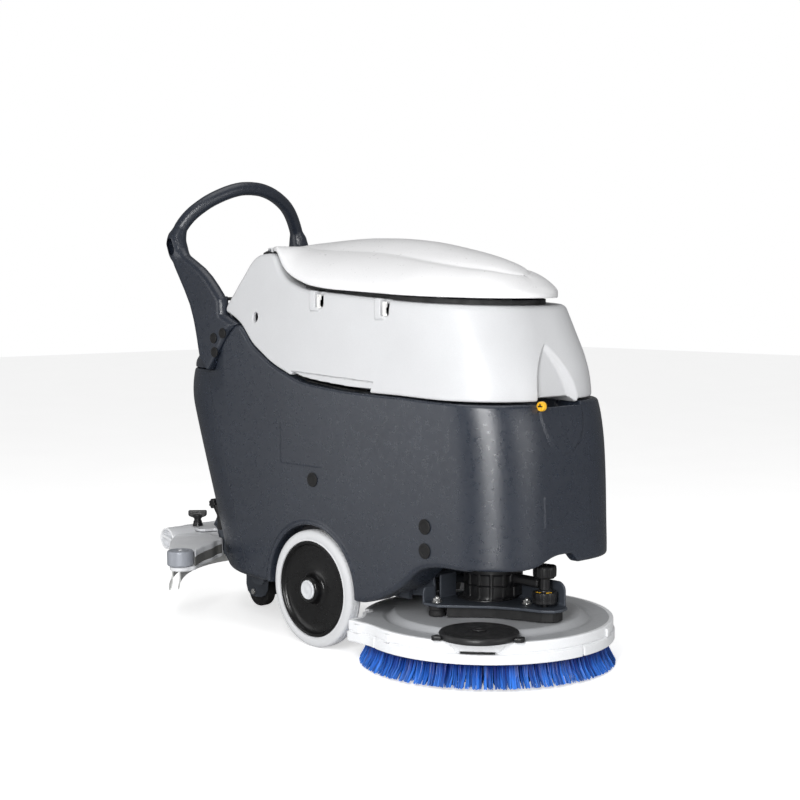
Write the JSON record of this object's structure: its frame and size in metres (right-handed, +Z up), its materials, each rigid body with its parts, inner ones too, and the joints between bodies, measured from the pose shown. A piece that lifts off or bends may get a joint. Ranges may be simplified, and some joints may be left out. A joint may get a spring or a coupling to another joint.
{
  "type": "walk-behind floor scrubber",
  "caption": "Walk-behind floor scrubber-dryer: moulded lower tank, lift-off recovery tank with hinged lid, disc brush deck, curved rear squeegee, loop handle.",
  "frame": {"origin": "on the floor, at the middle of the footprint, directly under the middle of the drive axle", "axes": "+X forward to the brush end, +Y to the operator's left, +Z up"},
  "size_m": [1.216, 0.676, 1.034],
  "materials": {
    "body_dark": "fine moulded grain, satin",
    "frame_black": "powder coat",
    "steel": "ground",
    "tank_grey": "satin moulded",
    "lid_white": "satin moulded",
    "black_plastic": "moulded",
    "hub_black": "gloss moulded",
    "tyre_grey": "non-marking rubber",
    "seal_rubber": "soft",
    "blade_rubber": "soft, translucent grey",
    "hose_rubber": "ribbed",
    "deck_silver": "painted casting",
    "skirt_grey": "moulded",
    "cast_silver": "fine cast",
    "bristle_blue": "nylon filament",
    "brush_back": "moulded",
    "yellow": "moulded",
    "lens": "clear",
    "battery_case": "moulded",
    "green_plastic": "moulded",
    "ball_white": "moulded"
  },
  "bodies": {
    "chassis": {"solution_tank": "body_dark", "chassis_frame": "frame_black", "axle_shaft": "steel", "handle_frame": "body_dark", "console_housing": "body_dark", "display_lens": "lens", "batteries": "battery_case", "vacuum_motor": "black_plastic", "cover_plugs": "black_plastic", "filler_plug": "yellow", "tank_seal": "seal_rubber", "solution_filter": "black_plastic", "vacuum_hose": "hose_rubber", "drain_hose": "hose_rubber"},
    "right_wheel": {"right_tyre": "tyre_grey", "right_hub": "hub_black", "right_bearing": "steel", "right_hubcap": "tyre_grey"},
    "left_wheel": {"left_tyre": "tyre_grey", "left_hub": "hub_black", "left_bearing": "steel", "left_hubcap": "tyre_grey"},
    "caster_swivel": {"caster_fork": "frame_black", "caster_axle": "steel"},
    "caster_roll": {"caster_wheel": "seal_rubber"},
    "recovery_body": {"recovery_tank": "tank_grey", "float_cage": "black_plastic", "lid_hinge_pin": "steel", "tank_latches": "tank_grey"},
    "float": {"float_ball": "ball_white"},
    "lid_body": {"lid": "lid_white", "lid_gasket": "seal_rubber"},
    "deck": {"deck_cover": "deck_silver", "deck_skirt": "skirt_grey", "brush_motor": "black_plastic", "motor_bracket": "frame_black", "buffer_mounts": "seal_rubber", "deck_bolts": "steel", "lift_yoke": "frame_black", "roller_pin": "steel"},
    "adjuster": {"adjuster_knob": "black_plastic"},
    "roller": {"bumper_roller": "black_plastic"},
    "brush": {"brush_disc": "brush_back", "bristles": "bristle_blue"},
    "carrier": {"squeegee_carrier": "frame_black"},
    "arms": {"squeegee_arms": "frame_black"},
    "squeegee": {"squeegee_casting": "cast_silver", "squeegee_bracket": "cast_silver", "rear_blade": "blade_rubber", "front_blade": "blade_rubber"},
    "left_knob": {"left_wing_knob": "black_plastic"},
    "right_knob": {"right_wing_knob": "black_plastic"},
    "left_roller": {"left_end_roller": "skirt_grey"},
    "right_roller": {"right_end_roller": "skirt_grey"},
    "lever": {"lift_lever": "black_plastic"},
    "brush_switch": {"brush_button": "green_plastic"},
    "vacuum_switch": {"vacuum_button": "green_plastic"},
    "water_switch": {"water_button": "yellow"},
    "key": {"key_switch": "steel"},
    "paddle": {"start_paddle": "black_plastic"}
  },
  "joints": [
    {"name": "right_wheel_roll", "type": "hinge", "parent": "chassis", "child": "right_wheel", "pos_m": [0, -0.181, 0.129], "axis": [0, 1, 0], "continuous": true},
    {"name": "left_wheel_roll", "type": "hinge", "parent": "chassis", "child": "left_wheel", "pos_m": [0, 0.181, 0.129], "axis": [0, 1, 0], "continuous": true},
    {"name": "caster_turn", "type": "hinge", "parent": "chassis", "child": "caster_swivel", "pos_m": [-0.39, 0, 0.11], "axis": [0, 0, 1], "continuous": true},
    {"name": "caster_wheel_roll", "type": "hinge", "parent": "caster_swivel", "child": "caster_roll", "pos_m": [-0.42, 0, 0.038], "axis": [0, 1, 0], "continuous": true},
    {"name": "recovery_tank_lift_off", "type": "slide", "parent": "chassis", "child": "recovery_body", "axis": [0, 0, 1], "range_m": [0, 0.25]},
    {"name": "float_rise", "type": "slide", "parent": "recovery_body", "child": "float", "axis": [0, 0, 1], "range_m": [0, 0.04]},
    {"name": "lid_open", "type": "hinge", "parent": "recovery_body", "child": "lid_body", "pos_m": [-0.218, 0, 0.864], "axis": [0, -1, 0], "range_deg": [0, 80]},
    {"name": "deck_lift", "type": "hinge", "parent": "chassis", "child": "deck", "pos_m": [0.15, 0, 0.14], "axis": [0, -1, 0], "range_deg": [0, 4]},
    {"name": "pressure_adjust", "type": "hinge", "parent": "deck", "child": "adjuster", "pos_m": [0.495, 0.005, 0.18], "axis": [0, 0, 1], "range_deg": [0, 330]},
    {"name": "bumper_roller_spin", "type": "hinge", "parent": "deck", "child": "roller", "pos_m": [0.478, -0.171, 0.11], "axis": [0, 0, 1], "continuous": true},
    {"name": "brush_spin", "type": "hinge", "parent": "deck", "child": "brush", "pos_m": [0.34, 0, 0.06], "axis": [0, 0, 1], "continuous": true},
    {"name": "squeegee_lift", "type": "slide", "parent": "chassis", "child": "carrier", "axis": [0, 0, 1], "range_m": [-0.09, 0], "stiffness_N_per_m": 3000, "springref_m": 0.03, "deforming": ["vacuum_hose"]},
    {"name": "squeegee_arm_swing", "type": "hinge", "parent": "chassis", "child": "arms", "pos_m": [-0.3, 0, 0.1], "axis": [0, 1, 0], "range_deg": [-28.5, 0.5]},
    {"name": "squeegee_yaw", "type": "hinge", "parent": "carrier", "child": "squeegee", "pos_m": [-0.505, 0, 0.19], "axis": [0, 0, 1], "range_deg": [-4, 4]},
    {"name": "left_wing_knob_turn", "type": "hinge", "parent": "squeegee", "child": "left_knob", "pos_m": [-0.56, 0.09, 0.2], "axis": [0, 0, 1], "continuous": true},
    {"name": "right_wing_knob_turn", "type": "hinge", "parent": "squeegee", "child": "right_knob", "pos_m": [-0.56, -0.09, 0.2], "axis": [0, 0, 1], "continuous": true},
    {"name": "left_end_roller_spin", "type": "hinge", "parent": "squeegee", "child": "left_roller", "pos_m": [-0.329, 0.308, 0.17], "axis": [0, 0, 1], "continuous": true},
    {"name": "right_end_roller_spin", "type": "hinge", "parent": "squeegee", "child": "right_roller", "pos_m": [-0.329, -0.308, 0.17], "axis": [0, 0, 1], "continuous": true},
    {"name": "lift_lever_swing", "type": "hinge", "parent": "chassis", "child": "lever", "pos_m": [-0.43, -0.117, 0.21], "axis": [0, 1, 0], "range_deg": [-62, 0.5]},
    {"name": "brush_button_press", "type": "slide", "parent": "chassis", "child": "brush_switch", "axis": [0.7071, 0, -0.7071], "range_m": [0, 0.003], "stiffness_N_per_m": 400, "springref_m": -0.001},
    {"name": "vacuum_button_press", "type": "slide", "parent": "chassis", "child": "vacuum_switch", "axis": [0.7071, 0, -0.7071], "range_m": [0, 0.003], "stiffness_N_per_m": 400, "springref_m": -0.001},
    {"name": "water_button_press", "type": "slide", "parent": "chassis", "child": "water_switch", "axis": [0.7071, 0, -0.7071], "range_m": [0, 0.003], "stiffness_N_per_m": 400, "springref_m": -0.001},
    {"name": "key_turn", "type": "hinge", "parent": "chassis", "child": "key", "pos_m": [-0.47744, 0.075, 0.69456], "axis": [0.7071, 0, -0.7071], "range_deg": [0, 90]},
    {"name": "start_paddle_press", "type": "hinge", "parent": "chassis", "child": "paddle", "pos_m": [-0.435, 0, 0.753], "axis": [0, -1, 0], "range_deg": [0, 9], "stiffness_Nm_per_rad": 3, "springref_deg": -1.15}
  ],
  "couplings": [
    {"joint": "squeegee_arm_swing", "follows": "squeegee_lift", "rad_per_m": 5.1057},
    {"joint": "lift_lever_swing", "follows": "squeegee_lift", "rad_per_m": 11.636}
  ]
}
